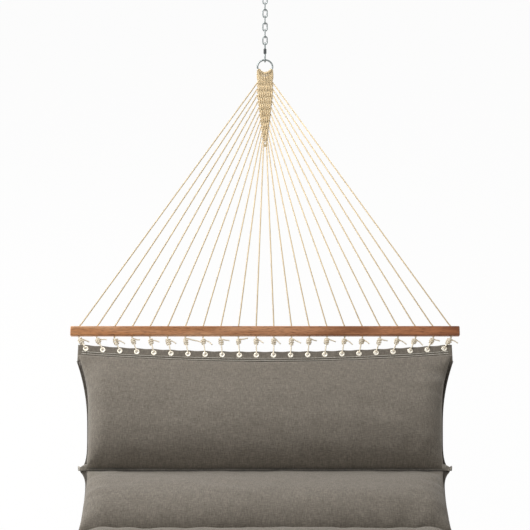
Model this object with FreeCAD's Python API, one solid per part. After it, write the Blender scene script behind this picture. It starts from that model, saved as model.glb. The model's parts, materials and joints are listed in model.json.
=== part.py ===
import FreeCAD, Part
import os
from math import cos, sin, radians, degrees

V = FreeCAD.Vector

# A hanging hammock: a padded bed of five sections between two drilled oak spreader bars,
# each carried by 22 cords that gather in a woven clew on a steel ring, a quick link, a chain and a
# screw hook. X is across the bed, Y along it, Z up. All sizes in millimetres, angles in degrees.
# The far half (+Y) is modelled and mirrored. The origin is the far hook's screw, at its collar.

# Bed
SECTIONS = 5
SECTION_LENGTH = 420.0      # seam to seam, along the chord
MIDDLE_WIDTH = 1220.0       # bed width at the middle, seam to seam
HEM_WIDTH = 1337.0          # bed width at each hem
WAIST = 2.2                 # how late the width grows towards the hems
DRAW_MIDDLE = 8.0           # how far the filling draws each edge in between two seams
DRAW_END = 36.0
DRAW_FLAT = 6.0             # how close to a seam the edge flares out again
DRAW_AT_HEM = 2.2           # the same towards a hem
PAD_CROWN = 98.0            # pad top above the line between its seams
CROWN_FLAT = 3.0            # how flat the top is, and how round its shoulders
CROWN_ROOT = 0.5
HEM_THINNING = 0.75         # share of the crown that an end pad loses at its hem
SECOND_THINNING = 0.85      # and the next pad at the seam between them
PAD_SAG = 22.0              # bed underside below that line
SHEET = 3.0                 # base cloth
BINDING = 7.0               # edge binding, width and thickness
BINDING_THICK = 5.0
WELT_RADIUS = 3.0           # cord in each seam
SLOPES = (0.0, 0.0, 36.0)   # middle, second and end sections

# Hem and grommets
HEM_SLOPE = 38.7            # hem and its ties
HEM_THICK = 4.0
HEM_EDGE = 14.0             # grommet centre to the hem's edge
HEM_BAND = 24.0             # grommet centre to the hem's stitching
TIE_END = 40.0              # knot to grommet at the corners
TIE_MIDDLE = 66.0           # and at the middle
CORDS = 22                  # in each harness, and as many ties and grommets
HEM_CORNER = 28.0           # hem's end to its first grommet
GROMMET_PITCH = (HEM_WIDTH - 2 * HEM_CORNER) / (CORDS - 1)
GROMMET_BORE = 5.2
GROMMET_BARREL = 6.2
GROMMET_FLANGE = 10.0
GROMMET_PLATE = 1.0

# Spreader bar and harness
CORD_RADIUS = 2.4
BAR_LENGTH = 1397.0
BAR_HEIGHT = 35.0
BAR_THICK = 22.0
BAR_ROUND = 4.0
BAR_END = 31.75             # bar's end to its first hole
HOLE_PITCH = (BAR_LENGTH - 2 * BAR_END) / (CORDS - 1)
HOLE_RADIUS = 4.0
HARNESS_SLOPE = 49.0
HARNESS_LENGTH = 1030.0     # bar centre to ring centre
CORD_BEND = 10.0            # at the mouth of each hole
KNOT_RADIUS = 9.0
KNOT_GAP = 1.0              # bar's underside to the knots
TAIL_LENGTH = 20.0

# Ring and clew
RING_RADIUS = 28.3          # to the middle of its wire
RING_WIRE = 3.2
CLEW_ROWS = CORDS // 2
CLEW_FIRST = 64.0           # ring centre to the first row
CLEW_PITCH = 25.3
CLEW_TOP_WIDTH = 62.0
CLEW_TIP_WIDTH = 16.0
CLEW_STEP = 5.9             # narrowing of each row
CLEW_THICK = 12.0
LASHING_ARC = 124.0         # share of the ring that the cord loops cover

# Quick link, chain and hook
QUICK_WIRE = 3.0
QUICK_LENGTH = 76.0         # wire middle to wire middle
QUICK_RADIUS = 9.0
QUICK_GAP = 8.0             # the gate that the sleeve nut closes
NUT_LENGTH = 18.0
NUT_RADIUS = 5.6            # across the corners
LINKS = 9
LINK_WIRE = 2.4
LINK_LENGTH = 33.2          # wire middle to wire middle
LINK_RADIUS = 8.1
HOOK_WIRE = 4.0
HOOK_RADIUS = 14.0
HOOK_NECK = 10.0            # bend from the hook into its shank
HOOK_TIP = 130.0            # where the hook's bow ends, from +Y
SHANK = 14.0                # neck to collar
COLLAR_RADIUS = 8.0
COLLAR = 2.5
SCREW = 50.0
SCREW_POINT = 6.0

# Clearances
PLAY = 0.3                  # between pieces that bear on each other
HOOK_PLAY = 0.4
PAD_PLAY = 0.5
PAD_SIDE = 2.0              # between a pad and the edge binding
CUTTER_MARGIN = 1.0         # how far a cutter runs past what it cuts


def along(slope):
    """Unit vector in the YZ plane, that many degrees above +Y."""
    return V(0, cos(radians(slope)), sin(radians(slope)))


def square_to(slope):
    """The same turned a quarter turn, up and towards the bed's middle."""
    return along(slope + 90)


X = V(1, 0, 0)
D = along(HARNESS_SLOPE)
N = square_to(HARNESS_SLOPE)
H = along(HEM_SLOPE)
M = square_to(HEM_SLOPE)
SIDES = (-1, 1)


def seams():
    """Far half of the bed's profile: middle, then each seam out to the hem's stitching."""
    half = V(0, SECTION_LENGTH / 2, 0)
    second = half + along(SLOPES[1]) * SECTION_LENGTH
    return [V(0, 0, 0), half, second, second + along(SLOPES[2]) * SECTION_LENGTH]


HEM_LINE = seams()[-1]
KNOT_LINE = HEM_LINE + H * (TIE_MIDDLE + HEM_BAND)
BAR_CENTRE = KNOT_LINE + D * (KNOT_RADIUS + KNOT_GAP + BAR_HEIGHT / 2)
RING_CENTRE = BAR_CENTRE + D * HARNESS_LENGTH
QUICK_LOW = RING_RADIUS - RING_WIRE - QUICK_WIRE - PLAY
QUICK_HIGH = QUICK_LOW + QUICK_LENGTH
LINK_FIRST = QUICK_HIGH - QUICK_WIRE - LINK_WIRE - PLAY
LINK_PITCH = LINK_LENGTH - 2 * LINK_WIRE - PLAY
LINK_LAST = LINK_FIRST + (LINKS - 1) * LINK_PITCH + LINK_LENGTH
HOOK_SEAT = RING_CENTRE + D * (LINK_LAST - LINK_WIRE - HOOK_WIRE - HOOK_PLAY)
HOOK_CENTRE = HOOK_SEAT + D * HOOK_RADIUS
COLLAR_AT = HOOK_CENTRE + V(0, HOOK_RADIUS + HOOK_NECK + SHANK, HOOK_NECK)
ORIGIN = COLLAR_AT + V(0, COLLAR, 0)


def rod(start, heading, radius, moves):
    """Round wire or cord: straight runs and tangent bends, each bend (axis, bend radius, angle)."""
    at = V(start)
    heading = V(heading).normalize()
    pieces = []
    for move in moves:
        disc = Part.Face(Part.Wire(Part.makeCircle(radius, at, heading)))
        if isinstance(move, float):
            pieces.append(disc.extrude(heading * move))
            at = at + heading * move
        else:
            axis, bend, angle = move
            centre = at + axis.cross(heading).normalize() * bend
            pieces.append(disc.revolve(centre, axis, angle))
            turn = FreeCAD.Rotation(axis, angle)
            at = centre + turn.multVec(at - centre)
            heading = turn.multVec(heading)
    if len(pieces) == 1:
        return pieces[0]
    return pieces[0].multiFuse(pieces[1:]).removeSplitter()


def oval(low, side, radius, wire, length):
    """A welded link of the given wire, from its low bend's middle, standing along D."""
    straight = length - 2 * radius
    bend = (side.cross(D), radius, 180)
    return rod(low + (D + side) * radius, D, wire, [straight, bend, straight, bend])


def hook():
    """Screw hook: pointed screw, collar, shank, neck and an open bow that the last link hangs in."""
    sweep = 360 - HOOK_TIP
    wire = rod(COLLAR_AT, V(0, -1, 0), HOOK_WIRE,
               [SHANK, (X, HOOK_NECK, 90), (-X, HOOK_RADIUS, sweep)])
    tip = Part.makeSphere(HOOK_WIRE, HOOK_CENTRE + along(HOOK_TIP) * HOOK_RADIUS)
    collar = Part.makeCylinder(COLLAR_RADIUS, COLLAR, COLLAR_AT, V(0, 1, 0))
    screw = Part.makeCylinder(HOOK_WIRE, SCREW, ORIGIN, V(0, 1, 0))
    point = Part.makeCone(HOOK_WIRE, 1, SCREW_POINT, ORIGIN + V(0, SCREW, 0), V(0, 1, 0))
    return wire.multiFuse([tip, collar, screw, point]).removeSplitter()


def chain_link(number):
    """Links lie across the harness plane by turns, the first and last flat in it."""
    low = RING_CENTRE + D * (LINK_FIRST + (number - 1) * LINK_PITCH)
    side = X if number % 2 else N
    return oval(low, side, LINK_RADIUS, LINK_WIRE, LINK_LENGTH)


def nut_centre():
    return RING_CENTRE + D * (QUICK_LOW + QUICK_LENGTH / 2) + N * QUICK_RADIUS


def quick_link():
    """Oval quick link with a gate in one leg."""
    low = RING_CENTRE + D * QUICK_LOW
    body = oval(low, N, QUICK_RADIUS, QUICK_WIRE, QUICK_LENGTH)
    start = nut_centre() - D * (QUICK_GAP / 2)
    return body.cut(Part.makeCylinder(QUICK_WIRE + CUTTER_MARGIN, QUICK_GAP, start, D))


def sleeve_nut():
    """Six-sided nut over the gate."""
    start = nut_centre() - D * (NUT_LENGTH / 2)
    corners = []
    for i in range(7):
        angle = radians(60 * i)
        corners.append(start + (X * cos(angle) + N * sin(angle)) * NUT_RADIUS)
    body = Part.Face(Part.makePolygon(corners)).extrude(D * NUT_LENGTH)
    return body.cut(Part.makeCylinder(QUICK_WIRE + PLAY, NUT_LENGTH, start, D))


def ring():
    return Part.makeTorus(RING_RADIUS, RING_WIRE, RING_CENTRE, N)


def ring_lashing():
    """The cord loops' wrap round the ring's lower arc."""
    half = radians(LASHING_ARC / 2)
    spoke = -D * cos(half) - X * sin(half)
    wrap = RING_WIRE + PLAY + 2 * CORD_RADIUS
    sleeve = rod(RING_CENTRE + spoke * RING_RADIUS, N.cross(spoke), wrap,
                 [(N, RING_RADIUS, LASHING_ARC)])
    return sleeve.cut(Part.makeTorus(RING_RADIUS, RING_WIRE + PLAY, RING_CENTRE, N))


def row_width(row):
    """Clew width at a row, the first at the top."""
    return min(CLEW_TOP_WIDTH, CLEW_TIP_WIDTH + (CLEW_ROWS - row) * CLEW_STEP)


def row_at(row):
    return RING_CENTRE - D * (CLEW_FIRST + (row - 1) * CLEW_PITCH)


def clew():
    """The woven mat, as wide at each row as the cords that are still in it."""
    top = RING_CENTRE - D * (RING_RADIUS + RING_WIRE + 2 * CORD_RADIUS + 2 * PLAY)
    right = [top + X * (CLEW_TOP_WIDTH / 2)]
    for row in range(1, CLEW_ROWS + 1):
        right.append(row_at(row) + X * (row_width(row) / 2))
    left = [V(-p.x, p.y, p.z) for p in reversed(right)]
    outline = Part.makePolygon(right + left + [right[0]])
    face = Part.Face(outline)
    face.translate(N * (-CLEW_THICK / 2))
    return face.extrude(N * CLEW_THICK)


def hole_x(number):
    """Across-position of a hole in the bar, 0 to CORDS - 1 from the left."""
    return (number - (CORDS - 1) / 2) * HOLE_PITCH


def harness_cord(side, row):
    """One cord, straight from the clew's edge to its hole, then down through the bar."""
    start = row_at(row) + X * side * (row_width(row) / 2 + CORD_RADIUS + PLAY)
    hole = X * side * ((CLEW_ROWS - row + 0.5) * HOLE_PITCH)
    mouth = BAR_CENTRE + D * (BAR_HEIGHT / 2) + hole
    run = mouth - start
    angle = degrees(run.getAngle(-D))
    axis = run.cross(-D).normalize()
    ease = CORD_BEND * sin(radians(angle / 2)) / cos(radians(angle / 2))
    through = BAR_HEIGHT + KNOT_GAP - PLAY - ease
    moves = [run.Length - ease, (axis, CORD_BEND, angle), through]
    return rod(start, run, CORD_RADIUS, moves)


def harness():
    cords = []
    for side in SIDES:
        for row in range(1, CLEW_ROWS + 1):
            cords.append(harness_cord(side, row))
    return Part.makeCompound(cords)


def bar():
    """Spreader bar on edge, with a hole for each cord."""
    corner = BAR_CENTRE - X * (BAR_LENGTH / 2) - D * (BAR_HEIGHT / 2) - N * (BAR_THICK / 2)
    end = Part.makePolygon([corner, corner + D * BAR_HEIGHT,
                            corner + D * BAR_HEIGHT + N * BAR_THICK, corner + N * BAR_THICK, corner])
    body = Part.Face(end).extrude(X * BAR_LENGTH)
    body = body.makeFillet(BAR_ROUND, body.Edges)
    holes = []
    for i in range(CORDS):
        low = BAR_CENTRE - D * BAR_HEIGHT + X * hole_x(i)
        holes.append(Part.makeCylinder(HOLE_RADIUS, 2 * BAR_HEIGHT, low, D))
    return body.cut(Part.makeCompound(holes))


def tie_length(x):
    """Knot to grommet: the hem's edge is hollow, so the middle ties are the longest."""
    edge = (CORDS - 1) / 2 * GROMMET_PITCH
    return TIE_END + (TIE_MIDDLE - TIE_END) * (1 - (x / edge) ** 2)


def grommet_at(number):
    x = (number - (CORDS - 1) / 2) * GROMMET_PITCH
    return KNOT_LINE - H * tie_length(x) + X * x


def hem_point(x, beyond):
    """On the hem, that far past the grommets' line towards the bar."""
    return KNOT_LINE - H * (tie_length(x) - beyond) + X * x


def hem_band():
    """Doubled cloth between the bed and the bar, hollow along its free edge."""
    half = HEM_WIDTH / 2
    left = HEM_LINE - X * half
    right = HEM_LINE + X * half
    edge = [hem_point(x, HEM_EDGE) for x in (-half, 0, half)]
    lines = [Part.Arc(*edge).toShape(), Part.LineSegment(edge[2], right).toShape(),
             Part.LineSegment(right, left).toShape(), Part.LineSegment(left, edge[0]).toShape()]
    face = Part.Face(Part.Wire(lines))
    face.translate(M * (-HEM_THICK / 2))
    body = face.extrude(M * HEM_THICK)
    holes = []
    for i in range(CORDS):
        low = grommet_at(i) - M * HEM_THICK
        holes.append(Part.makeCylinder(GROMMET_BARREL + PLAY, 2 * HEM_THICK, low, M))
    return body.cut(Part.makeCompound(holes))


def grommets():
    """Rolled brass eyelets: a barrel and two plates each."""
    made = []
    for i in range(CORDS):
        low = grommet_at(i) - M * (HEM_THICK / 2 + GROMMET_PLATE)
        deep = HEM_THICK + 2 * GROMMET_PLATE
        plate = Part.makeCylinder(GROMMET_FLANGE, GROMMET_PLATE, low, M)
        upper = Part.makeCylinder(GROMMET_FLANGE, GROMMET_PLATE, low + M * (deep - GROMMET_PLATE), M)
        barrel = Part.makeCylinder(GROMMET_BARREL, deep, low, M)
        bore = Part.makeCylinder(GROMMET_BORE, deep, low, M)
        made.append(barrel.multiFuse([plate, upper]).removeSplitter().cut(bore))
    return Part.makeCompound(made)


def tie(number):
    """A cord's end: knot under the bar, a loop through its grommet, and a short tail."""
    knot = KNOT_LINE + X * hole_x(number)
    eye = grommet_at(number)
    run = (eye - knot).normalize()
    spread = HEM_THICK / 2 + GROMMET_PLATE + CORD_RADIUS + PLAY
    leg = (eye - knot).Length - spread - CORD_RADIUS
    bend = (M.cross(run), spread, 180)
    loop = rod(knot + M * spread + run * CORD_RADIUS, run, CORD_RADIUS, [leg, bend, leg])
    back = run * -1
    ball = Part.makeSphere(KNOT_RADIUS)
    ball.Placement = FreeCAD.Placement(knot, FreeCAD.Rotation(back, M.cross(back), M, "ZXY"))
    tail = Part.makeCylinder(CORD_RADIUS, KNOT_RADIUS + TAIL_LENGTH, knot, (X * 2 - H).normalize())
    return ball.multiFuse([loop, tail])


def ties():
    return Part.makeCompound([tie(i) for i in range(CORDS)])


def between_seams(y):
    """0 at a seam, 1 half way to the next."""
    places = [p.y for p in seams()]
    away = abs(y)
    if away <= places[1]:
        return 1 - (away / places[1]) ** DRAW_FLAT
    for low, high in zip(places[1:], places[2:]):
        if low <= away <= high:
            share = 2 * (away - low) / (high - low) - 1
            flat = DRAW_AT_HEM if high == HEM_LINE.y and share > 0 else DRAW_FLAT
            return 1 - abs(share) ** flat
    return 0.0


def bed_width(y):
    """Width at that distance from mid length."""
    share = min(1, abs(y) / HEM_LINE.y)
    seam_to_seam = MIDDLE_WIDTH + (HEM_WIDTH - MIDDLE_WIDTH) * share ** WAIST
    return seam_to_seam - 2 * (DRAW_MIDDLE + (DRAW_END - DRAW_MIDDLE) * share) * between_seams(y)


def profile():
    """Corner points of the whole bed from the near hem to the far one, with their sections."""
    far = seams()[1:]
    near = [V(0, -p.y, p.z) for p in reversed(far)]
    return near + far


STATIONS = [i / 10 for i in range(11)]


def section_frame(number):
    """Near seam, chord and upward normal of a section, 1 at the near hem."""
    corners = profile()
    a = corners[number - 1]
    b = corners[number]
    chord = b - a
    return a, chord, X.cross(chord).normalize()


def sag(t):
    return -PAD_SAG * 4 * t * (1 - t)


def crown(number, t):
    """Pad top above the chord; the filling has slid from the hems towards the middle."""
    outward = t if number > SECTIONS / 2 else 1 - t
    thinning = {1: HEM_THINNING, 2: SECOND_THINNING, 4: SECOND_THINNING, 5: HEM_THINNING}.get(number, 0.0)
    return PAD_CROWN * (1 - abs(2 * t - 1) ** CROWN_FLAT) ** CROWN_ROOT * (1 - thinning * outward ** 2)


def band(x_low, x_high, low, high):
    """A closed four-cornered outline across the bed between two points of the profile."""
    a = low + X * x_low
    b = low + X * x_high
    c = high + X * x_high
    d = high + X * x_low
    return Part.makePolygon([a, b, c, d, a])


def up_at(number, t):
    """Upward direction at a station, shared by the two sections where they meet."""
    normal = section_frame(number)[2]
    if t == 0 and number > 1:
        normal = normal + section_frame(number - 1)[2]
    if t == 1 and number < SECTIONS:
        normal = normal + section_frame(number + 1)[2]
    if t == 0 and number == 1:
        normal = V(0, -M.y, M.z)
    if t == 1 and number == SECTIONS:
        normal = M
    return V(normal).normalize()


def cloth_points():
    """The base cloth's middle line from hem to hem, with its upward directions."""
    points = []
    for number in range(1, SECTIONS + 1):
        a, chord, normal = section_frame(number)
        for t in STATIONS:
            if t == 0 and number > 1:
                continue
            points.append((a + chord * t + normal * sag(t), up_at(number, t)))
    return points


def base_sheet():
    wires = []
    for point, up in cloth_points():
        half = bed_width(point.y) / 2 - BINDING - PLAY
        wires.append(band(-half, half, point - up * (SHEET / 2), point + up * (SHEET / 2)))
    return Part.makeLoft(wires, True, True)


def binding(side):
    wires = []
    for point, up in cloth_points():
        edge = bed_width(point.y) / 2
        rise = up * (BINDING_THICK / 2)
        low, high = sorted((side * edge, side * (edge - BINDING)))
        wires.append(band(low, high, point - rise, point + rise))
    return Part.makeLoft(wires, True, True)


def pad(number):
    """Closed crowned pad on the base cloth, between two seams."""
    a, chord, normal = section_frame(number)
    inset = (WELT_RADIUS + 2 * PAD_PLAY) / SECTION_LENGTH
    wires = []
    for t in STATIONS:
        s = inset + t * (1 - 2 * inset)
        at = a + chord * s
        half = bed_width(at.y) / 2 - BINDING - PAD_SIDE
        up = up_at(number, t)
        low = at + up * (sag(s) + SHEET / 2 + PAD_PLAY)
        high = at + up * (crown(number, t) + SHEET / 2 + 2 * WELT_RADIUS)
        wires.append(band(-half, half, low, high))
    return Part.makeLoft(wires, True, True)


def welt(number):
    """Seam cord between two pads, on the base cloth."""
    at = profile()[number]
    up = up_at(number, 1)
    half = bed_width(at.y) / 2 - BINDING - PAD_SIDE
    start = at + up * (SHEET / 2 + WELT_RADIUS + PLAY) - X * half
    return Part.makeCylinder(WELT_RADIUS, 2 * half, start, X)


def save(name, shape):
    """One node's file, in the part's own frame."""
    placed = shape.copy()
    placed.translate(ORIGIN * -1)
    placed.exportStep("parts/" + name + ".step")
    print(name, len(placed.Solids), round(placed.Volume), placed.isValid())


def save_pair(name, shape):
    """The far piece and its mirror image at the near end."""
    save("far_" + name, shape)
    save("near_" + name, shape.mirror(V(0, 0, 0), V(0, 1, 0)))


os.makedirs("parts", exist_ok=True)
save_pair("screw_hook", hook())
for number in range(1, LINKS + 1):
    save_pair("chain_link_" + str(number), chain_link(number))
save_pair("quick_link", quick_link())
save_pair("sleeve_nut", sleeve_nut())
save_pair("ring", ring())
save_pair("ring_lashing", ring_lashing())
save_pair("clew", clew())
save_pair("harness_cords", harness())
save_pair("spreader_bar", bar())
save_pair("ties", ties())
save_pair("grommets", grommets())
save_pair("hem_band", hem_band())
save("base_sheet", base_sheet())
save("left_binding", binding(-1))
save("right_binding", binding(1))
for number in range(1, SECTIONS + 1):
    save("pad_" + str(number), pad(number))
for number in range(1, SECTIONS):
    save("seam_welt_" + str(number), welt(number))
for label, point in (("ring centre", RING_CENTRE), ("hook seat", HOOK_SEAT), ("bar centre", BAR_CENTRE),
                     ("bed middle", V(0, 0, 0)), ("nut centre", nut_centre())):
    moved = point - ORIGIN
    print(label, round(moved.x, 3), round(moved.y, 3), round(moved.z, 3))
print("near screw", round(-2 * ORIGIN.y, 3), "harness direction", round(D.y, 6), round(D.z, 6))
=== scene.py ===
# %% [markdown]
# # A quilted hammock with spreader bars
# The construction comes in as a fixed frame: hooks, chains, rings, bars and the plain outline of every
# soft part. This script dresses it: rope, cloth, padding, stitches, eyelets, timber and plating.
# X runs across the bed, Y along it towards the far hook, Z is up, and all sizes are metres.

# %% The frame
import bpy
import bmesh
import json
import math
from mathutils import Matrix, Vector, noise


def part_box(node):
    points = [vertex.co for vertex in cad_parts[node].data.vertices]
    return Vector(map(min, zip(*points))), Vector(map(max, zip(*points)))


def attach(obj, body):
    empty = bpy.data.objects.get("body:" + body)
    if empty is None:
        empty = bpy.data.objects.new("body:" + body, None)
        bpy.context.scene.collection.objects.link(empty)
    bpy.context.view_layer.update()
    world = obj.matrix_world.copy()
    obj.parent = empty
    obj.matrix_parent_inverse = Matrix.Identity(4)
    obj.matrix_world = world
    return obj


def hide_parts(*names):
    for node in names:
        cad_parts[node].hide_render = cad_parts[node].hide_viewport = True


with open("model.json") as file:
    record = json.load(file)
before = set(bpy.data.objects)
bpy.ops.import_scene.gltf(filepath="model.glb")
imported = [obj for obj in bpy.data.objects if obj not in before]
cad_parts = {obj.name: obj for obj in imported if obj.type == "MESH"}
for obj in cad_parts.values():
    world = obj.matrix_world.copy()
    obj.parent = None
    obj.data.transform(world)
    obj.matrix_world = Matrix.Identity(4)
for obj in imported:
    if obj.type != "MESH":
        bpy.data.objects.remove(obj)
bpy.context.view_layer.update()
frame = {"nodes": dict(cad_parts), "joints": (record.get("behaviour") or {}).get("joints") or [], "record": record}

# %% [markdown]
# ## Where things are
# The harness slants at one angle, so three unit vectors describe it: X across, D up the harness and N
# square to both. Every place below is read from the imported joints, mounts and node boxes. The far end
# is modelled, and the near end is its mirror image about the bed's middle.

# %% Directions and places
joints = {j["name"]: j for j in frame["joints"]}
mounts = {m["name"]: m for m in frame["record"]["mounts"]}
X = Vector((1, 0, 0))
D = Vector(joints["far_nut_travel"]["axis"]).normalized()
N = X.cross(D)
RING_CENTRE = Vector(joints["hammock_roll"]["pos_m"])
MID_Y = (mounts["far_screw"]["pos_m"][1] + mounts["near_screw"]["pos_m"][1]) / 2


def middle(node):
    low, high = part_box(node)
    return (low + high) / 2


BAR_CENTRE = middle("far_spreader_bar")
print("ring", RING_CENTRE[:], "bar", BAR_CENTRE[:], "mid", round(MID_Y, 3))

# %% [markdown]
# ## The harness in numbers
# 22 cords leave the clew in pairs, one pair a row, and run to 22 holes 63.5 mm apart. The bed's hem is
# eyeleted at a slightly closer pitch, so each tie leans a little, and the hem is hollow, so the middle
# ties are longer than the outer ones.

# %% Harness, hem and bed dimensions
CORDS = 22
ROWS = CORDS // 2
CORD = 0.0024
HOLE_PITCH = 0.0635
BAR_HEIGHT = 0.035
CLEW_FIRST = 0.064
CLEW_PITCH = 0.0253
KNOT_BELOW = 0.0275
GROMMET_PITCH = 0.061
TIE_END = 0.040
TIE_MIDDLE = 0.066
HEM_EDGE = 0.014
HEM_BAND = 0.024
HEM_SLOPE = math.radians(38.7)
HALF_HEM = 1.337 / 2
H = Vector((0, math.cos(HEM_SLOPE), math.sin(HEM_SLOPE)))
M = X.cross(H)
KNOT_LINE = BAR_CENTRE - D * KNOT_BELOW
SECTIONS = 5


def hole_x(number):
    return (number - (CORDS - 1) / 2) * HOLE_PITCH


def tie_length(x):
    edge = (CORDS - 1) / 2 * GROMMET_PITCH
    return TIE_END + (TIE_MIDDLE - TIE_END) * (1 - (x / edge) ** 2)


def grommet_at(number):
    x = (number - (CORDS - 1) / 2) * GROMMET_PITCH
    return KNOT_LINE - H * tie_length(x) + X * x


def row_at(row):
    return RING_CENTRE - D * (CLEW_FIRST + (row - 1) * CLEW_PITCH)


def row_width(row):
    return min(0.062, 0.016 + (ROWS - row) * 0.0059)


print("outer tie", round(tie_length(hole_x(0)), 4), "hem from", round(KNOT_LINE.y, 3))

# %% [markdown]
# ## Far and near
# Both ends are made in one workshop, so each end piece is modelled once. The near copy is mirrored
# across the bed's middle and its faces are turned back outwards.


def to_object(name, bm, material, body, cad):
    mesh = bpy.data.meshes.new(name)
    bm.to_mesh(mesh)
    bm.free()
    piece = bpy.data.objects.new(name, mesh)
    bpy.context.scene.collection.objects.link(piece)
    mesh.materials.append(material)
    mesh.polygons.foreach_set("use_smooth", [True] * len(mesh.polygons))
    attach(piece, body)
    if cad:
        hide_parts(*cad)
    return piece


def mirrored(bm):
    twin = bm.copy()
    for vert in twin.verts:
        vert.co.y = 2 * MID_Y - vert.co.y
    bmesh.ops.reverse_faces(twin, faces=twin.faces)
    return twin


def pair(name, bm, material, bodies, cad):
    twin = mirrored(bm)
    far = to_object("far_" + name, bm, material, bodies[0], ["far_" + c for c in cad])
    near = to_object("near_" + name, twin, material, bodies[1], ["near_" + c for c in cad])
    print(name, len(far.data.polygons), "faces at each end")
    return far, near


BED = ("hammock", "hammock")

# %% [markdown]
# ## Colour and nodes
# Colours are written as the sRGB hex that a paint card would give and are turned to linear values. One
# small function adds a shader node with its settings and links.

# %% Colour and node helpers


def colour(code):
    parts = [int(code[i:i + 2], 16) / 255 for i in (1, 3, 5)]
    return tuple(c / 12.92 if c < 0.04045 else ((c + 0.055) / 1.055) ** 2.4 for c in parts) + (1.0,)


def add(tree, kind, inputs=None, **settings):
    made = tree.nodes.new(kind)
    for name, value in settings.items():
        setattr(made, name, value)
    for socket, value in (inputs or {}).items():
        if isinstance(value, bpy.types.NodeSocket):
            tree.links.new(value, made.inputs[socket])
        else:
            made.inputs[socket].default_value = value
    return made


def start(name):
    material = bpy.data.materials.new(name)
    material.use_nodes = True
    tree = material.node_tree
    tree.nodes.clear()
    return material, tree


def finish(tree, shader):
    add(tree, "ShaderNodeOutputMaterial", {"Surface": shader.outputs[0]})


def blend_colours(tree, factor, a, b, mode="MIX"):
    made = add(tree, "ShaderNodeMix", data_type="RGBA", blend_type=mode)
    for socket, value in ((0, factor), (6, a), (7, b)):
        if isinstance(value, bpy.types.NodeSocket):
            tree.links.new(value, made.inputs[socket])
        else:
            made.inputs[socket].default_value = value
    return made.outputs[2]


print("canvas grey", [round(v, 3) for v in colour("#8a8378")])

# %% [markdown]
# ## Outdoor canvas
# The bed is solution-dyed acrylic canvas: a plain weave of yarns that mix light and dark fibres, which
# gives the eye a dry, heathered grey with no gloss. The real yarns lie 0.6 mm apart, too fine to show,
# so the weave is drawn at 2.4 mm and the heather as streaks about 4 mm wide and 30 mm long, in both
# thread directions.

# %% Canvas material


def canvas(name, dark, mid, light, thread=0.0024):
    material, tree = start(name)
    place = add(tree, "ShaderNodeTexCoord").outputs["Object"]
    streaks = []
    for stretch in ((60, 480, 480), (480, 60, 60)):
        lie = add(tree, "ShaderNodeMapping", {"Vector": place, "Scale": stretch})
        streaks.append(add(tree, "ShaderNodeTexNoise", {"Vector": lie.outputs[0], "Scale": 1.0,
                                                       "Detail": 3.0, "Roughness": 0.6}).outputs[0])
    both = add(tree, "ShaderNodeMath", {0: streaks[0], 1: streaks[1]}, operation="ADD")
    heather = add(tree, "ShaderNodeMapRange", {"Value": both.outputs[0], "From Min": 0.7, "From Max": 1.3})
    ramp = add(tree, "ShaderNodeValToRGB", {"Fac": heather.outputs[0]})
    ramp.color_ramp.elements[0].position = 0.1
    ramp.color_ramp.elements[0].color = colour(dark)
    ramp.color_ramp.elements[1].position = 0.9
    ramp.color_ramp.elements[1].color = colour(light)
    middle_stop = ramp.color_ramp.elements.new(0.5)
    middle_stop.color = colour(mid)
    cloudy = add(tree, "ShaderNodeTexNoise", {"Vector": place, "Scale": 5.0, "Detail": 2.0})
    softened = add(tree, "ShaderNodeMath", {0: cloudy.outputs[0], 1: 0.25}, operation="MULTIPLY")
    worn = blend_colours(tree, softened.outputs[0], ramp.outputs[0], colour(mid))
    rows = []
    for way in ("X", "Y"):
        rows.append(add(tree, "ShaderNodeTexWave", {"Vector": place, "Scale": 1 / thread / 3.18},
                        wave_type="BANDS", bands_direction=way).outputs[1])
    weave = add(tree, "ShaderNodeMath", {0: rows[0], 1: rows[1]}, operation="MULTIPLY")
    relief = add(tree, "ShaderNodeMath", {0: weave.outputs[0], 1: heather.outputs[0]}, operation="ADD")
    bump = add(tree, "ShaderNodeBump", {"Height": relief.outputs[0], "Strength": 0.35,
                                        "Distance": 0.0009})
    shader = add(tree, "ShaderNodeBsdfPrincipled",
                 {"Base Color": worn, "Roughness": 0.93, "Normal": bump.outputs[0],
                  "Sheen Weight": 0.15, "Sheen Roughness": 0.5, "Specular IOR Level": 0.2})
    finish(tree, shader)
    return material


bed_canvas = canvas("heathered_outdoor_canvas", "#686259", "#7d766c", "#928a7f")
# The base cloth gets the same canvas painted darker: painted shade for the shadow the pads throw on it.
base_canvas_painted_shade = canvas("canvas_base_painted_shade", "#544e48", "#6c665f", "#857f76")
tape = canvas("woven_binding_tape", "#47423c", "#59534c", "#6b655d", thread=0.0015)
# The fin's tape is painted much lighter than the canvas: a painted highlight for the light its ridge catches while
# it stands in the pad's shade.
ridge_tape_painted_highlight = canvas("folded_welt_tape_with_painted_highlight", "#989288", "#b0aaa0", "#c8c2b8", thread=0.0015)
print("canvas finishes ready")

# %% [markdown]
# ## Rope, oak, steel and brass
# The cord is three-strand spun polyester, cream and matt; its UV map runs round and along each cord, so
# the strands can be drawn as slanting bands 9 mm long. The bar is oiled oak: rings cut lengthwise give
# long cathedral figures along X, with fine open pores. The fittings are zinc plated and a little
# cloudy, and the eyelets are rolled brass dulled by weather.

# %% Rope material


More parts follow.
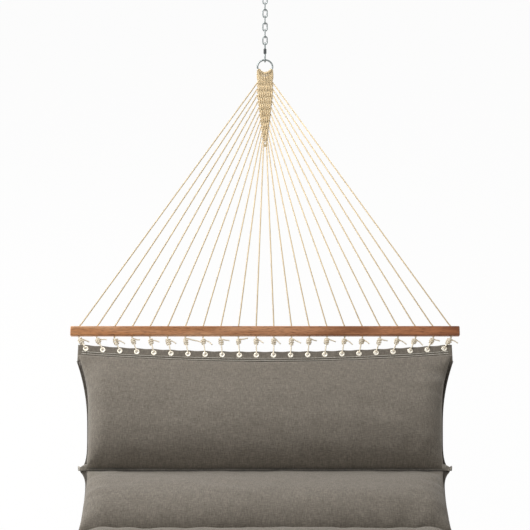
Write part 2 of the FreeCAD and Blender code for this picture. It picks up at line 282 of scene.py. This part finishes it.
def rope(name, shade, light):
    material, tree = start(name)
    uv = add(tree, "ShaderNodeUVMap", uv_map="cord").outputs[0]
    parts = add(tree, "ShaderNodeSeparateXYZ", {0: uv})
    turns = add(tree, "ShaderNodeMath", {0: parts.outputs[0], 1: 3.0}, operation="MULTIPLY")
    lay = add(tree, "ShaderNodeMath", {0: parts.outputs[1], 1: 1 / 0.009}, operation="MULTIPLY")
    phase = add(tree, "ShaderNodeMath", {0: turns.outputs[0], 1: lay.outputs[0]}, operation="ADD")
    angle = add(tree, "ShaderNodeMath", {0: phase.outputs[0], 1: 2 * math.pi}, operation="MULTIPLY")
    wave = add(tree, "ShaderNodeMath", {0: angle.outputs[0]}, operation="SINE")
    strand = add(tree, "ShaderNodeMapRange", {"Value": wave.outputs[0], "From Min": -1.0})
    place = add(tree, "ShaderNodeTexCoord").outputs["Object"]
    fuzz = add(tree, "ShaderNodeTexNoise", {"Vector": place, "Scale": 900.0, "Detail": 2.0})
    soil = add(tree, "ShaderNodeTexNoise", {"Vector": place, "Scale": 9.0, "Detail": 3.0})
    # Each strand is paler at its crown and darker at its edges: painted shade in the grooves between the three
    # strands.
    strand_shading = blend_colours(tree, strand.outputs[0], colour(shade), colour(light))
    aged = blend_colours(tree, soil.outputs[0], strand_shading, colour(light))
    relief = add(tree, "ShaderNodeMath", {0: strand.outputs[0], 1: fuzz.outputs[0]}, operation="ADD")
    bump = add(tree, "ShaderNodeBump", {"Height": relief.outputs[0], "Strength": 0.08, "Distance": 0.0005})
    shader = add(tree, "ShaderNodeBsdfPrincipled",
                 {"Base Color": aged, "Roughness": 0.85, "Normal": bump.outputs[0],
                  "Sheen Weight": 0.2, "Specular IOR Level": 0.25})
    finish(tree, shader)
    return material


cream_rope = rope("three_strand_spun_polyester", "#d3ba90", "#e8d3ad")
# The ties are the same cord painted paler: painted light that lifts the bar's shadow off the knots and loops.
tie_cord_painted_light = rope("spun_polyester_painted_light_for_ties", "#f0e0c2", "#fdf4e2")
print("rope finish ready")

# %% Oak material


def oiled_oak():
    material, tree = start("oiled_oak")
    place = add(tree, "ShaderNodeTexCoord").outputs["Object"]
    board = add(tree, "ShaderNodeMapping", {"Vector": place, "Scale": (1.1, 14.0, 14.0)})
    sway = add(tree, "ShaderNodeTexNoise", {"Vector": board.outputs[0], "Scale": 1.3, "Detail": 4.0})
    rings = add(tree, "ShaderNodeMath", {0: sway.outputs[0], 1: 22.0}, operation="MULTIPLY")
    ring_wave = add(tree, "ShaderNodeMath", {0: rings.outputs[0]}, operation="SINE")
    figure = add(tree, "ShaderNodeMapRange", {"Value": ring_wave.outputs[0], "From Min": -1.0})
    pores_lie = add(tree, "ShaderNodeMapping", {"Vector": place, "Scale": (45.0, 900.0, 900.0)})
    pores = add(tree, "ShaderNodeTexNoise", {"Vector": pores_lie.outputs[0], "Scale": 1.0, "Detail": 4.0})
    pore_cut = add(tree, "ShaderNodeMapRange", {"Value": pores.outputs[0], "From Min": 0.52,
                                                "From Max": 0.7})
    early = blend_colours(tree, figure.outputs[0], colour("#c98c5a"), colour("#e2b188"))
    parts = add(tree, "ShaderNodeSeparateXYZ", {0: place})
    along = add(tree, "ShaderNodeMapRange", {"Value": parts.outputs[0], "From Min": -0.7,
                                             "From Max": 0.7, "To Max": 0.9})
    deep = blend_colours(tree, figure.outputs[0], colour("#6b3418"), colour("#b26a3c"))
    # The wood grows darker from the bar's left end (-X) to its right end (+X).
    darker_to_right_end = blend_colours(tree, along.outputs[0], early, deep)
    poring = blend_colours(tree, pore_cut.outputs[0], darker_to_right_end, colour("#5a311b"))
    bump = add(tree, "ShaderNodeBump", {"Height": pore_cut.outputs[0], "Strength": 0.25,
                                        "Distance": -0.0004})
    shader = add(tree, "ShaderNodeBsdfPrincipled",
                 {"Base Color": poring, "Roughness": 0.55, "Normal": bump.outputs[0],
                  "Coat Weight": 0.12, "Coat Roughness": 0.35, "Specular IOR Level": 0.35})
    finish(tree, shader)
    return material


oak = oiled_oak()
print("oak ready")

# %% Metal materials


def metal(name, dark, light, rough, grain):
    material, tree = start(name)
    place = add(tree, "ShaderNodeTexCoord").outputs["Object"]
    bloom = add(tree, "ShaderNodeTexNoise", {"Vector": place, "Scale": grain, "Detail": 4.0})
    tint = blend_colours(tree, bloom.outputs[0], colour(dark), colour(light))
    dull = add(tree, "ShaderNodeMapRange", {"Value": bloom.outputs[0], "To Min": rough - 0.08,
                                            "To Max": rough + 0.12})
    bump = add(tree, "ShaderNodeBump", {"Height": bloom.outputs[0], "Strength": 0.15,
                                        "Distance": 0.0002})
    shader = add(tree, "ShaderNodeBsdfPrincipled",
                 {"Base Color": tint, "Metallic": 1.0, "Roughness": dull.outputs[0],
                  "Normal": bump.outputs[0]})
    finish(tree, shader)
    return material


zinc = metal("zinc_plated_steel", "#5d6363", "#9aa09f", 0.32, 260.0)
dark_zinc = metal("black_zinc_nut", "#3b3d3e", "#5a5d5e", 0.4, 300.0)
brass = metal("nickel_plated_brass_eyelet", "#cfc8b8", "#efe9db", 0.45, 240.0)

for name, node in frame["nodes"].items():
    finishes = {"hook": zinc, "link": zinc, "ring": zinc, "nut": dark_zinc, "bar": oak}
    for word, material in finishes.items():
        if name.endswith(word) or (word == "link" and "_link" in name):
            node.data.materials.clear()
            node.data.materials.append(material)
print("metal and timber on", sum(1 for n in frame["nodes"].values() if n.data.materials), "nodes")

# %% [markdown]
# ## Cord as a tube
# A cord is a round section carried along a line: a circle is extruded from point to point and each new
# ring is turned square to the line. The UV map is written as it grows, once round and in metres along,
# so the rope's lay keeps its real pitch on every cord.

# %% The cord maker


def carry(bm, points, radius, sides=8):
    """Extrudes a ring of that radius along the points and caps both ends."""
    uv = bm.loops.layers.uv.get("cord") or bm.loops.layers.uv.new("cord")
    around = bm.verts.layers.float.get("around") or bm.verts.layers.float.new("around")
    along = bm.verts.layers.float.get("along") or bm.verts.layers.float.new("along")
    heading = (points[1] - points[0]).normalized()
    place = Matrix.Translation(points[0]) @ heading.to_track_quat("Z", "Y").to_matrix().to_4x4()
    ring = bmesh.ops.create_circle(bm, segments=sides, radius=radius, matrix=place)["verts"]
    for k, vert in enumerate(ring):
        vert[around] = k / sides
    ends = [list(ring)]
    edges = list({edge for vert in ring for edge in vert.link_edges})
    length = 0.0
    for i in range(1, len(points)):
        ahead = (points[min(i + 1, len(points) - 1)] - points[i - 1]).normalized()
        turn = heading.rotation_difference(ahead).to_matrix().to_4x4()
        made = bmesh.ops.extrude_edge_only(bm, edges=edges)["geom"]
        ring = [g for g in made if isinstance(g, bmesh.types.BMVert)]
        edges = [g for g in made if isinstance(g, bmesh.types.BMEdge)]
        length += (points[i] - points[i - 1]).length
        move = Matrix.Translation(points[i]) @ turn @ Matrix.Translation(-points[i - 1])
        bmesh.ops.transform(bm, matrix=move, verts=ring)
        for vert in ring:
            vert[along] = length
        for face in [g for g in made if isinstance(g, bmesh.types.BMFace)]:
            spans = [loop.vert[around] for loop in face.loops]
            for loop, u in zip(face.loops, spans):
                wrapped = u + 1 if max(spans) - u > 0.5 else u
                loop[uv].uv = (wrapped, loop.vert[along])
        heading = ahead
    ends.append(ring)
    for end in ends:
        bmesh.ops.contextual_create(bm, geom=end)
    return length


def smooth_line(points, rounds=2):
    """Cuts the corners: each round puts two points on the arms of every corner."""
    for _ in range(rounds):
        cut = [points[0]]
        for a, b in zip(points, points[1:]):
            cut += [a.lerp(b, 0.25), a.lerp(b, 0.75)]
        points = cut + [points[-1]]
    return points


# %% Harness cords
harness = bmesh.new()
rope_length = 0.0
for side in (-1, 1):
    for row in range(1, ROWS + 1):
        leave = row_at(row) + X * side * (row_width(row) / 2 - CORD)
        hole = BAR_CENTRE + X * side * (ROWS - row + 0.5) * HOLE_PITCH
        mouth = hole + D * BAR_HEIGHT / 2
        bottom = hole - D * (BAR_HEIGHT / 2 + 0.004)
        bend = [mouth.lerp(leave, 0.012), mouth + D * 0.002, mouth - D * 0.006]
        rope_length += carry(harness, [leave] + bend + [bottom], CORD)
pair("harness_rope", harness, cream_rope, BED, ["harness_cords"])
print("rope in one harness", round(rope_length, 2), "m")

# %% [markdown]
# ## The woven clew
# The cords loop over the ring in 11 bights, so 22 legs hang in two layers. At each row one cord from
# each side crosses between the layers as weft and leaves at the other side for its hole in the bar, and
# the layers swap. Drawing each bight as one long cord, with its real crossings, gives the mat its rows
# and its taper with no drawn pattern.

# %% Clew routes
HALF_LAYER = 0.0034
RING_WIRE = 0.0283


def leg_x(leg, row):
    left = CORDS - 2 * (row - 1)
    pitch = (row_width(row) - 2 * CORD) / max(1, left - 1)
    return (leg - (row - 1) - (left - 1) / 2) * pitch


def leg_route(leg):
    """From above the first row down to where the leg leaves the mat as weft."""
    leaves = min(leg, CORDS - 1 - leg) + 1
    side = 1 if leg < ROWS else -1
    route = []
    for row in range(1, leaves):
        over = HALF_LAYER if (leg + row) % 2 else -HALF_LAYER
        route.append(row_at(row) + X * leg_x(leg, row) + N * over)
        route.append(row_at(row + 0.5) + X * leg_x(leg, row + 0.5 if row < ROWS else row))
    last = row_at(leaves) + D * 0.0026 * side
    half = row_width(leaves) / 2
    route.append(row_at(leaves - 0.4) + X * leg_x(leg, leaves))
    for share in (-0.6, 0.0, 0.6):
        route.append(last + X * side * half * share)
    route.append(row_at(leaves) + X * side * (half - CORD))
    return route


def bight(column):
    """Over the ring's wire, from the front layer to the back one."""
    lean = math.radians((column - (ROWS - 1) / 2) * 12)
    spoke = X * math.sin(lean) - D * math.cos(lean)
    turns = []
    for angle in (-60, 0, 45, 90, 135, 180, 240):
        a = math.radians(angle)
        out = RING_WIRE - math.sin(a) * 0.0058
        turns.append(RING_CENTRE + spoke * out + N * math.cos(a) * 0.0058)
    return turns


clew = bmesh.new()
woven = 0.0
for column in range(ROWS):
    front = list(reversed(leg_route(2 * column)))
    back = leg_route(2 * column + 1)
    woven += carry(clew, smooth_line(front + bight(column) + back, 1), CORD * 1.18)
pair("clew_rope", clew, cream_rope, BED, ["clew", "ring_lashing"])
print("rope in one clew", round(woven, 2), "m")

# %% [markdown]
# ## Ties
# Under the bar each cord goes through its eyelet, comes back and is whipped round itself with two
# hitches, and its cut tail sticks out. Knots tied by hand differ, so each has its own size, lean and
# tail from a seeded generator, and one tail near the left is long.

# %% Knots, loops and tails
import random

hand = random.Random(11)


def tie_loop(knot, eye):
    run = (eye - knot).normalized()
    spread = 0.0056
    centre = eye - run * spread
    top = knot - run * 0.004
    front = [top + M * 0.0026, knot + run * 0.008 + M * 0.003]
    arc = []
    for angle in range(90, -91, -30):
        a = math.radians(angle)
        arc.append(centre + run * math.cos(a) * spread + M * math.sin(a) * spread)
    back = [knot + run * 0.008 - M * 0.003, top - M * 0.0026]
    return front + arc + back


def hitches(knot, run, tail, lean):
    """Turns round both legs, one over the other, then the tail."""
    across = run.cross(M).normalized()
    wide = 0.0068 + hand.uniform(0, 0.0012)
    drop = hand.uniform(0.020, 0.026)
    steps = 24
    route = []
    for step in range(steps + 1):
        share = step / steps
        a = math.radians(48 * step + lean)
        down = run * (0.003 + drop * (1 - share))
        bulge = wide * (0.8 + 0.35 * math.sin(math.pi * share))
        route.append(knot + down + (M * math.sin(a) + across * math.cos(a)) * bulge)
    last = knot + run * (0.003 + drop * 0.35) + X * wide
    route = route[:-1]
    droop = hand.uniform(-0.5, 0.6)
    way = (X * hand.uniform(0.8, 1.1) - H * droop + M * hand.uniform(-0.1, 0.3)).normalized()
    route.append(last + (way + X * 0.3) * tail * 0.35)
    route.append(last + way * tail * 0.75 - H * tail * 0.08)
    route.append(last + way * tail - H * tail * 0.22)
    return route


ties = bmesh.new()
for number in range(CORDS):
    knot = KNOT_LINE + X * hole_x(number) + D * 0.003
    eye = grommet_at(number)
    run = (eye - knot).normalized()
    carry(ties, smooth_line(tie_loop(knot, eye), 2), CORD)
    tail = 0.052 if number == 6 else hand.uniform(0.018, 0.030)
    carry(ties, smooth_line(hitches(knot, run, tail, hand.uniform(0, 360)), 1), CORD)
# The ties take the paler cord, painted light against the bar's shadow.
pair("tie_rope", ties, tie_cord_painted_light, BED, ["ties"])

# %% [markdown]
# ## Eyelets
# A rolled eyelet is a lathe shape: a barrel through the cloth with a domed flange each side. One is
# spun and copied to the 22 places.

# %% Grommets
profile = [(5.2, -3.1), (5.2, 3.1), (6.2, 3.7), (7.6, 3.8), (9.2, 3.3), (10.0, 2.5), (9.8, 2.1), (6.5, 2.1),
           (6.5, -2.1), (9.8, -2.1), (10.0, -2.5), (9.2, -3.3), (7.6, -3.8), (6.2, -3.7)]
lathe = bmesh.new()
verts = [lathe.verts.new((r / 1000, 0, z / 1000)) for r, z in profile]
edges = [lathe.edges.new((a, b)) for a, b in zip(verts, verts[1:] + verts[:1])]
bmesh.ops.spin(lathe, geom=verts + edges, axis=(0, 0, 1), cent=(0, 0, 0), angle=2 * math.pi,
               steps=28, use_merge=True)
bmesh.ops.recalc_face_normals(lathe, faces=lathe.faces)
one_grommet = bpy.data.meshes.new("one_grommet")
lathe.to_mesh(one_grommet)
lathe.free()
square = Matrix((X, H, M)).transposed().to_4x4()
eyelets = bmesh.new()
for number in range(CORDS):
    old = set(eyelets.verts)
    eyelets.from_mesh(one_grommet)
    new = [v for v in eyelets.verts if v not in old]
    bmesh.ops.transform(eyelets, matrix=Matrix.Translation(grommet_at(number)) @ square, verts=new)
bpy.data.meshes.remove(one_grommet)
pair("eyelets", eyelets, brass, BED, ["grommets"])

# %% [markdown]
# ## The bed's lie
# Every soft piece is placed by how far it is along the bed and how far across it. The seams are where
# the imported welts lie; between two seams the base cloth sags a little under its pad, and the bed is
# narrower in the middle than at the hems.

# %% Bed line and width
welts = [middle("seam_welt_" + str(n)) for n in range(1, SECTIONS)]
far_hem = KNOT_LINE - H * (TIE_MIDDLE + HEM_BAND)
near_hem = Vector((0, 2 * MID_Y - far_hem.y, far_hem.z))
drop = Vector((0, 0, -0.0048))
corners = [near_hem] + [w + drop for w in welts] + [far_hem]
half_length = far_hem.y - MID_Y


def section(number, t):
    """Point on the chord of a section, its upward normal and its length."""
    a, b = corners[number - 1], corners[number]
    chord = b - a
    return a + chord * t, X.cross(chord).normalized(), chord.length


def between_seams(y):
    """0 at a seam and 1 between two; the edge flares late at a seam and early at a hem."""
    for number, (low, high) in enumerate(zip(corners, corners[1:]), 1):
        if low.y <= y <= high.y:
            share = 2 * (y - low.y) / (high.y - low.y) - 1
            at_hem = (number == 1 and share < 0) or (number == SECTIONS and share > 0)
            return 1 - abs(share) ** (2.2 if at_hem else 6.0)
    return 0.0


def half_width(y):
    """The edge, drawn in by the filling between the seams."""
    share = min(1.0, abs(y - MID_Y) / half_length)
    seam_to_seam = (1.220 + (1.337 - 1.220) * share ** 2.2) / 2
    return seam_to_seam - (0.008 + 0.028 * share) * between_seams(y)


def sag(t):
    return -0.022 * 4 * t * (1 - t)


print("seams at", [tuple(round(v, 3) for v in c[1:]) for c in corners])

# %% Pad shape


def hem_reach(number, x, t):
    """How much further the end pads run out under the hollow hem, as a share of their length."""
    if number not in (1, SECTIONS):
        return 0.0
    full = (TIE_MIDDLE - tie_length(x)) / 0.42
    return full * (t if number == SECTIONS else 1 - t)


def ruffle(x, y, seed):
    return noise.noise(Vector((x, y, seed * 7.3)))


def crown(number, t):
    """Pad top above its chord; the filling has slid from the hems towards the middle."""
    outward = t if number > SECTIONS / 2 else 1 - t
    thinning = {1: 0.75, 2: 0.85, 4: 0.85, 5: 0.75}.get(number, 0.0)
    filled = 0.109 if number == 3 else 0.100
    return filled * (1 - abs(2 * t - 1) ** 2.4) ** 0.55 * (1 - thinning * outward ** 2)


def pad_top(number, p, t):
    """A point of the pad's upper skin, p from -1 to 1 across and t from 0 to 1 along."""
    rough, _, _ = section(number, t)
    ear = (0.008 + 0.028 * min(1.0, abs(rough.y - MID_Y) / half_length)) * (1 - between_seams(rough.y))
    open_end = (number == 1 and t < 0.5) or (number == SECTIONS and t > 0.5)
    x = p * (half_width(rough.y) + 0.001 - (0.0 if open_end else 0.75 * ear))
    reach = hem_reach(number, x, t)
    at, up, _ = section(number, t + reach if number == SECTIONS else t - reach)
    rim = (1 - abs(p)) * half_width(rough.y)
    side = (1 - (1 - min(1.0, rim / 0.085)) ** 2.4) ** 0.5
    body = crown(number, t) / 0.100
    full = min(1.0, body * 2.5)
    height = crown(number, t) * (0.12 + 0.88 * side)
    seam_near = math.exp(-((1 - abs(2 * t - 1)) / 0.24))
    pucker = 0.011 * seam_near * ruffle(x * 19, t * 1.6, number) * full
    tuck = 0.016 * math.exp(-(rim / 0.06)) * ruffle(p * 2, t * 9, number + 20) * side * full
    lump = 0.014 * ruffle(x * 3.2, t * 2.0, number + 40) * body
    slack = 0.0045 * ruffle(x * 11 + t * 4, t * 5 - x * 3, number + 60) * body
    corner = math.exp(-(rim / 0.10)) * seam_near
    pull = 0.010 * corner * math.sin(70 * rim + 9 * (1 - abs(2 * t - 1))) * full
    return at + X * (x - at.x) + up * (0.0035 + height + pucker + tuck + lump + slack + pull)


def pad_bottom(number, p, t):
    top = pad_top(number, p, t)
    reach = hem_reach(number, top.x, t)
    at, up, _ = section(number, t + reach if number == SECTIONS else t - reach)
    return at + X * top.x + up * (sag(t) + 0.0024)


def pad_mesh(number, across=160, along=60):
    bm = bmesh.new()
    upper = bmesh.ops.create_grid(bm, x_segments=across, y_segments=along, size=1)["verts"]
    lower = bmesh.ops.create_grid(bm, x_segments=across, y_segments=along, size=1)["verts"]
    for verts, shape in ((upper, pad_top), (lower, pad_bottom)):
        for vert in verts:
            t = 0.009 + 0.982 * (vert.co.y + 1) / 2
            vert.co = shape(number, vert.co.x, t)
    rims = [e for e in bm.edges if e.is_boundary]
    bmesh.ops.bridge_loops(bm, edges=rims)
    bmesh.ops.recalc_face_normals(bm, faces=bm.faces)
    return bm


for number in range(1, SECTIONS + 1):
    piece = to_object("quilted_pad_" + str(number), pad_mesh(number), bed_canvas, "hammock",
                      ["pad_" + str(number)])
    print(piece.name, len(piece.data.polygons), "faces")

# %% [markdown]
# ## Welts, base cloth and edge binding
# Between two pads the covers' seam allowance stands up as a thin bound fin. The stitching draws it into
# a slightly wavy ridge, and its ends stick out past the pads as small ears. The base cloth is one sheet
# from hem to hem, and its long edges are bound with folded tape.

# %% Seam welts
FIN = 0.022


def fin_point(number, x, height):
    at = corners[number]
    wave = 0.0030 * ruffle(x * 11, 4.0, number) + 0.0016 * ruffle(x * 37, 2.0, number)
    top = FIN + 0.0026 * ruffle(x * 9, 0.0, number) + 0.0008 * ruffle(x * 60, 0, number)
    tip = max(0.0, 1 - (half_width(at.y) + 0.008 - abs(x)) / 0.032)
    fold = 0.011 * math.sin(7.5 * tip) * tip * height
    top *= 1 - 0.55 * tip ** 2
    return Vector((x, at.y + wave * (0.4 + height) + fold, at.z + 0.0035 + top * height))


for number in range(1, SECTIONS):
    half = half_width(corners[number].y) + 0.008
    xs = [-half + 2 * half * i / 150 for i in range(151)]
    ridge = bmesh.new()
    carry(ridge, [fin_point(number, x, 1.0) for x in xs], 0.0025, sides=8)
    strip = bmesh.new()
    for vert in bmesh.ops.create_grid(strip, x_segments=150, y_segments=3, size=1)["verts"]:
        vert.co = fin_point(number, vert.co.x * half, (vert.co.y + 1) / 2 * 0.97)
    bmesh.ops.recalc_face_normals(strip, faces=strip.faces)
    bmesh.ops.solidify(strip, geom=strip.faces, thickness=0.003)
    bmesh.ops.recalc_face_normals(strip, faces=strip.faces)
    fin = bpy.data.meshes.new("fin")
    strip.to_mesh(fin)
    strip.free()
    ridge.from_mesh(fin)
    bpy.data.meshes.remove(fin)
    # The fin and its ridge take the lighter tape, a painted highlight along each seam.
    to_object("seam_tape_" + str(number), ridge, ridge_tape_painted_highlight, "hammock", ["seam_welt_" + str(number)])
print("welts", SECTIONS - 1)


# %% Base cloth and bindings


def cloth_line():
    """Stations of the base cloth from hem to hem, with the upward direction at each."""
    stations = []
    for number in range(1, SECTIONS + 1):
        for k in range(24):
            t = k / 24
            at, up, _ = section(number, t)
            stations.append((at + up * sag(t), up))
    at, up, _ = section(SECTIONS, 1.0)
    stations.append((at, up))
    return stations


def thickened(bm, thick):
    """Turns an upper skin into a closed sheet of that thickness, grown downwards."""
    bmesh.ops.recalc_face_normals(bm, faces=bm.faces)
    if sum(f.normal.z for f in bm.faces) < 0:
        bmesh.ops.reverse_faces(bm, faces=bm.faces)
    upper = list(bm.verts)
    at = {vert: vert.co.copy() for vert in upper}
    bmesh.ops.solidify(bm, geom=bm.faces, thickness=thick)
    moved = sum((vert.co - at[vert]).length for vert in upper)
    print("skin moved", round(moved, 6))
    return bm


def ribbon(inner, outer, thick, lift):
    """A closed strip along the bed between two distances from its edge, each a function of y."""
    stations = cloth_line()
    bm = bmesh.new()
    columns = 60 if abs(outer(0) - inner(0)) > 0.1 else 3
    grid = bmesh.ops.create_grid(bm, x_segments=columns, y_segments=len(stations) - 1, size=1)["verts"]
    for vert in grid:
        at, up = stations[round((vert.co.y + 1) / 2 * (len(stations) - 1))]
        share = (vert.co.x + 1) / 2
        x = inner(at.y) + (outer(at.y) - inner(at.y)) * share
        vert.co = Vector((x, at.y, at.z)) + up * (lift + thick / 2)
    return thickened(bm, thick)


# The base cloth wears the darker canvas, which is painted shade from the pads above it.
bed_sheet = to_object("base_cloth", ribbon(lambda y: -half_width(y) - 0.001, lambda y: half_width(y) + 0.001,
                                           0.003, 0.0), base_canvas_painted_shade, "hammock", ["base_sheet"])
for side, node in ((-1, "left_binding"), (1, "right_binding")):
    strip = ribbon(lambda y: side * (half_width(y) - 0.0025), lambda y: side * (
        half_width(y) + 0.002 + 0.004 * between_seams(y)), 0.006, 0.001)
    to_object(node.replace("_", "_edge_"), strip, tape, "hammock", [node])
print("base cloth", len(bed_sheet.data.polygons), "faces")

# %% [markdown]
# ## Hem band
# The bed's end is turned over twice and sewn down, which makes a stiff band that carries the eyelets.
# It is one closed sheet here: a grid shaped to the hollow hem, given its thickness, then punched by 22
# cylinders so that the eyelets are real holes.

# %% Hem sheet


def hem_skin(x, down):
    """The hem's upper face, that far below the knots: scalloped between eyelets, creased at its fold."""
    deep = tie_length(x) - HEM_EDGE
    near_edge = 0.55 * max(0.0, 1 - (down - deep) / 0.02)
    wave = math.cos(2 * math.pi * x / GROMMET_PITCH + math.pi)
    lift = 0.0007 * wave * near_edge + 0.0012 * ruffle(x * 9, down * 30, 3)
    fold = -0.0014 * math.exp(-((down - deep - HEM_EDGE - 0.0165) / 0.0022) ** 2)
    return KNOT_LINE - H * (down - 0.0014 * wave * near_edge) + X * x + M * (lift + fold + 0.002)


def hem_mesh(across=264, along=16):
    bm = bmesh.new()
    grid = bmesh.ops.create_grid(bm, x_segments=across, y_segments=along, size=1)["verts"]
    for vert in grid:
        x = vert.co.x * HALF_HEM
        share = (vert.co.y + 1) / 2
        deep = tie_length(x) - HEM_EDGE
        deepest = TIE_MIDDLE + HEM_BAND - 0.001
        down = deep + (deepest - deep) * share
        vert.co = hem_skin(x, down)
    return thickened(bm, 0.004)


def punched(bm):
    """The hem with its eyelet holes cut."""
    sheet = bpy.data.meshes.new("hem_blank")
    bm.to_mesh(sheet)
    blank = bpy.data.objects.new("hem_blank", sheet)
    punches = bmesh.new()
    for number in range(CORDS):
        place = Matrix.Translation(grommet_at(number)) @ square
        bmesh.ops.create_cone(punches, cap_ends=True, segments=24, radius1=0.0058, radius2=0.0058,
                              depth=0.03, matrix=place)
    tool_mesh = bpy.data.meshes.new("hem_punches")
    punches.to_mesh(tool_mesh)
    punches.free()
    tool = bpy.data.objects.new("hem_punches", tool_mesh)
    for thing in (blank, tool):
        bpy.context.scene.collection.objects.link(thing)
    cut = blank.modifiers.new("holes", "BOOLEAN")
    cut.operation = "DIFFERENCE"
    cut.object = tool
    cut.solver = "EXACT"
    graph = bpy.context.evaluated_depsgraph_get()
    bm.clear()
    bm.from_mesh(blank.evaluated_get(graph).to_mesh())
    for thing in (blank, tool):
        bpy.data.objects.remove(thing)
    return bm


far_hem_cloth, near_hem_cloth = pair("hem_cloth", punched(hem_mesh()), bed_canvas, BED, ["hem_band"])

# %% [markdown]
# ## Stitches
# Two rows of light thread hold the hem. Each stitch is a short thread that dips into the cloth at both
# ends, 4 mm long at a 5.5 mm pitch.

# %% Thread and stitches


def thread():
    material, tree = start("bonded_polyester_thread")
    place = add(tree, "ShaderNodeTexCoord").outputs["Object"]
    ply = add(tree, "ShaderNodeTexNoise", {"Vector": place, "Scale": 1500.0})
    tint = blend_colours(tree, ply.outputs[0], colour("#c9c5ba"), colour("#ebe7dd"))
    shader = add(tree, "ShaderNodeBsdfPrincipled", {"Base Color": tint, "Roughness": 0.6})
    finish(tree, shader)
    return material


stitch_thread = thread()


def stitch_row(bm, beyond):
    """A row of stitches across the hem, that far below the eyelets' line."""
    pitch = 0.0055
    count = int(2 * (HALF_HEM - 0.012) / pitch)
    for k in range(count):
        x = (k - (count - 1) / 2) * pitch
        points = []
        for step, lift in ((-0.0021, -0.0006), (-0.0014, 0.0007), (0.0014, 0.0007), (0.0021, -0.0006)):
            points.append(hem_skin(x + step, tie_length(x + step) + beyond) + M * lift)
        carry(bm, points, 0.0011, sides=5)


sewing = bmesh.new()
for beyond in (0.0125, 0.0205):
    stitch_row(sewing, beyond)
pair("hem_stitches", sewing, stitch_thread, BED, [])

# %% [markdown]
# ## Floor, light and camera
# A pale floor lies well below the hanging bed. It shows white to the camera and still keeps the bed's
# soft shadow. The key light is a large soft box above and behind, to the left, so that each pad is
# bright at its crown and dark where it rolls down to its seam, and a weak fill keeps the shade open.

# %% Floor and backdrop


def pale_floor():
    material, tree = start("pale_studio_floor")
    seen = add(tree, "ShaderNodeLightPath")
    lit = add(tree, "ShaderNodeBsdfDiffuse", {"Color": colour("#f2f0ec")})
    white = add(tree, "ShaderNodeEmission", {"Color": (1, 1, 1, 1), "Strength": 1.0})
    direct = add(tree, "ShaderNodeMath", {0: seen.outputs["Is Camera Ray"], 1: 0.96},
                 operation="MULTIPLY")
    glossy = add(tree, "ShaderNodeMath", {0: direct.outputs[0], 1: seen.outputs["Is Glossy Ray"]},
                 operation="MAXIMUM")
    share = add(tree, "ShaderNodeMath", {0: glossy.outputs[0], 1: seen.outputs["Is Transmission Ray"]},
                operation="MAXIMUM")
    shader = add(tree, "ShaderNodeMixShader", {0: share.outputs[0], 1: lit.outputs[0],
                                               2: white.outputs[0]})
    finish(tree, shader)
    return material


floor_bm = bmesh.new()
bmesh.ops.create_grid(floor_bm, x_segments=1, y_segments=1, size=14.0,
                      matrix=Matrix.Translation((0, MID_Y, far_hem.z - 0.95)))
floor_mesh = bpy.data.meshes.new("studio_floor")
floor_bm.to_mesh(floor_mesh)
floor_bm.free()
floor = bpy.data.objects.new("studio_floor", floor_mesh)
bpy.context.scene.collection.objects.link(floor)
floor_mesh.materials.append(pale_floor())

# %% World
world = bpy.data.worlds.new("white_studio")
bpy.context.scene.world = world
world.use_nodes = True
tree = world.node_tree
tree.nodes.clear()
seen = add(tree, "ShaderNodeLightPath")
mirror_ray = add(tree, "ShaderNodeMath", {0: seen.outputs["Is Camera Ray"],
                                          1: seen.outputs["Is Glossy Ray"]}, operation="MAXIMUM")
lit = add(tree, "ShaderNodeMath", {0: mirror_ray.outputs[0], 1: seen.outputs["Is Transmission Ray"]},
          operation="MAXIMUM")
soft = add(tree, "ShaderNodeBackground", {"Color": colour("#fbfaf8"), "Strength": 0.32})
white = add(tree, "ShaderNodeBackground", {"Color": (1, 1, 1, 1), "Strength": 1.0})
mix = add(tree, "ShaderNodeMixShader", {0: lit.outputs[0], 1: soft.outputs[0], 2: white.outputs[0]})
add(tree, "ShaderNodeOutputWorld", {"Surface": mix.outputs[0]})

# %% Lamps


def soft_box(name, place, aim, size, power):
    lamp = bpy.data.lights.new(name, "AREA")
    lamp.size = size
    lamp.energy = power
    holder = bpy.data.objects.new(name, lamp)
    bpy.context.scene.collection.objects.link(holder)
    holder.location = place
    holder.rotation_euler = (Vector(aim) - Vector(place)).to_track_quat("-Z", "Y").to_euler()
    return holder


far_pad = section(SECTIONS, 0.5)[0]
soft_box("key", far_pad + Vector((-1.6, 1.3, 3.9)), far_pad, 2.0, 138)
soft_box("front", far_pad + Vector((-2.6, -4.5, 3.0)), far_pad, 3.0, 44)
soft_box("rim", far_pad + Vector((-4.2, 1.2, 1.0)), far_pad, 1.6, 80)
soft_box("right rim", far_pad + Vector((4.2, 1.2, 1.0)), far_pad, 1.6, 14)
print("lamps set")

# %% [markdown]
# ## Camera
# The view looks along the bed from its near end, 24 degrees down, from 6 m away through a long lens, so
# that the far bar spans the frame and the near half stays below it.

# %% Camera
DISTANCE = 6.0
TILT = math.radians(24)
PIXELS = 1671
looking = Vector((0, math.cos(TILT), -math.sin(TILT)))
camera_up = Vector((0, math.sin(TILT), math.cos(TILT)))
lens = bpy.data.cameras.new("view")
lens.sensor_width = 36
lens.lens = 36 * PIXELS / 530
lens.clip_end = 60
camera = bpy.data.objects.new("view", lens)
bpy.context.scene.collection.objects.link(camera)
bar_below_axis = 66.3 / PIXELS * DISTANCE
camera.location = BAR_CENTRE - looking * DISTANCE + camera_up * bar_below_axis
camera.rotation_euler = looking.to_track_quat("-Z", "Y").to_euler()
bpy.context.scene.camera = camera
bpy.context.scene.view_settings.view_transform = "Standard"
